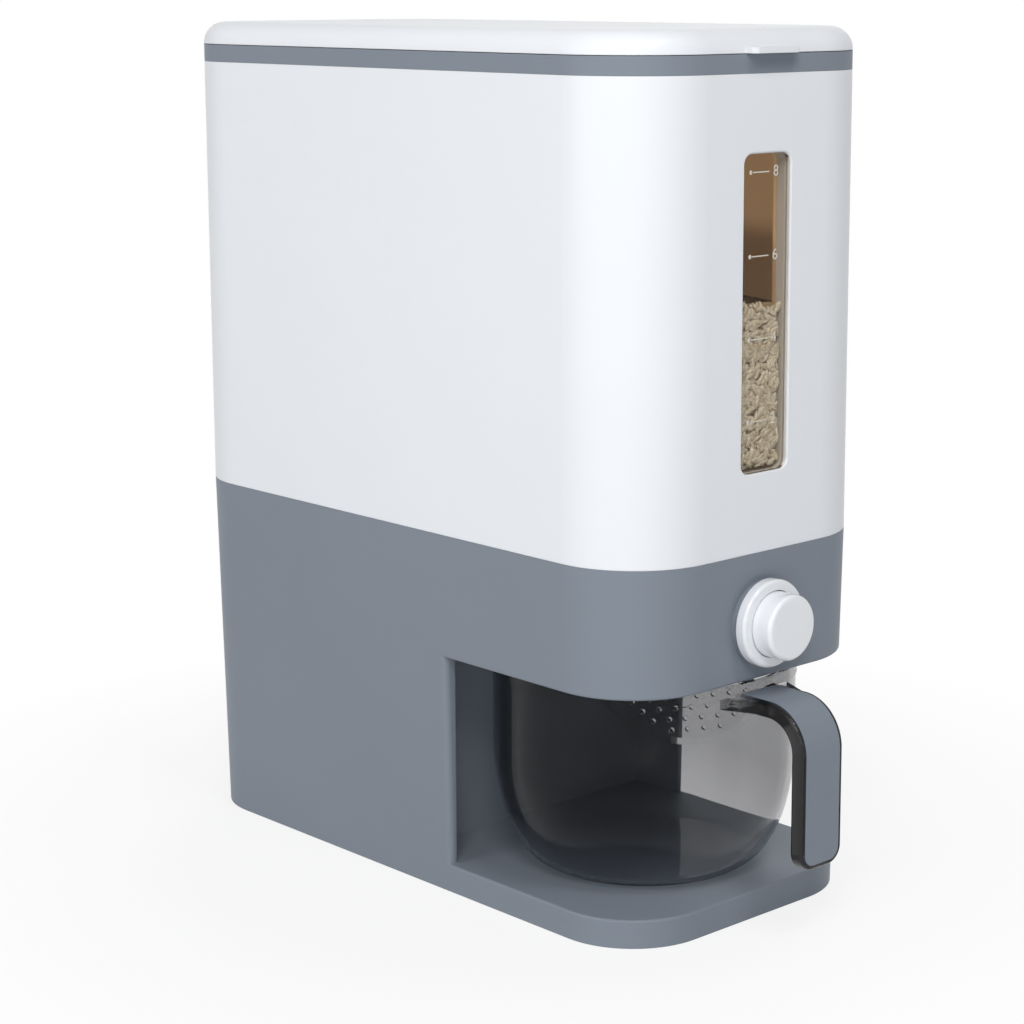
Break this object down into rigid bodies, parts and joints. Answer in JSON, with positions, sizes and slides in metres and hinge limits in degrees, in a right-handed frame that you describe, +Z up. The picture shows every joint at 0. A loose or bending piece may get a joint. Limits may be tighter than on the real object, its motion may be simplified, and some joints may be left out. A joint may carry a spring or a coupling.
{
  "type": "rice dispenser",
  "caption": "Upright rice bin with a hinged lid, a level window, a press button that opens the outlet gate, and a clear washing bowl with a hook handle in an alcove.",
  "frame": {"origin": "middle of the base footprint, on the plane that the object stands on", "axes": "+Z up, the front with the button and the bowl handle faces -Y, and +X points to the right hand of a person who faces the front"},
  "size_m": [0.167, 0.38, 0.41],
  "materials": {
    "white_plastic": "satin white ABS",
    "grey_plastic": "fine matte blue grey ABS",
    "liner_plastic": "smooth off-white polypropylene",
    "hopper_plastic": "smooth tea brown polypropylene",
    "window_tint": "clear plastic with a faint warm tint",
    "smoky_clear": "smoky clear polycarbonate",
    "strainer_clear": "clear plastic",
    "seal_silicone": "soft grey silicone",
    "pad_rubber": "dark rubber",
    "screw_steel": "plain steel"
  },
  "bodies": {
    "cabinet": {"lower_housing": "grey_plastic", "base_plate": "grey_plastic", "foot_pads": "pad_rubber", "base_screws": "screw_steel", "bin_shell": "white_plastic", "window_pane": "window_tint", "window_sleeve": "liner_plastic", "hopper": "hopper_plastic", "gate_track": "liner_plastic", "track_screws": "screw_steel", "button_bezel": "white_plastic", "bezel_nut": "grey_plastic", "return_spring": "screw_steel", "top_collar": "grey_plastic", "hinge_pin": "screw_steel"},
    "lid": {"lid_shell": "white_plastic", "lid_liner": "liner_plastic", "lid_gasket": "seal_silicone"},
    "button": {"button_cap": "white_plastic", "push_rod": "liner_plastic", "rod_screw": "screw_steel", "gate": "liner_plastic"},
    "bowl": {"bowl": "smoky_clear", "handle_cover": "grey_plastic", "bowl_strainer": "strainer_clear"}
  },
  "joints": [
    {"name": "lid_hinge", "type": "hinge", "parent": "cabinet", "child": "lid", "pos_m": [0, 0.1695, 0.399], "axis": [-1, 0, 0], "range_deg": [0, 100]},
    {"name": "button_press", "type": "slide", "parent": "cabinet", "child": "button", "axis": [0, 1, 0], "range_m": [0, 0.0105], "stiffness_N_per_m": 350, "springref_m": -0.006, "deforming": ["return_spring"]},
    {"name": "bowl_pull", "type": "slide", "parent": "cabinet", "child": "bowl", "axis": [0, -1, 0], "range_m": [0, 0.19]}
  ]
}
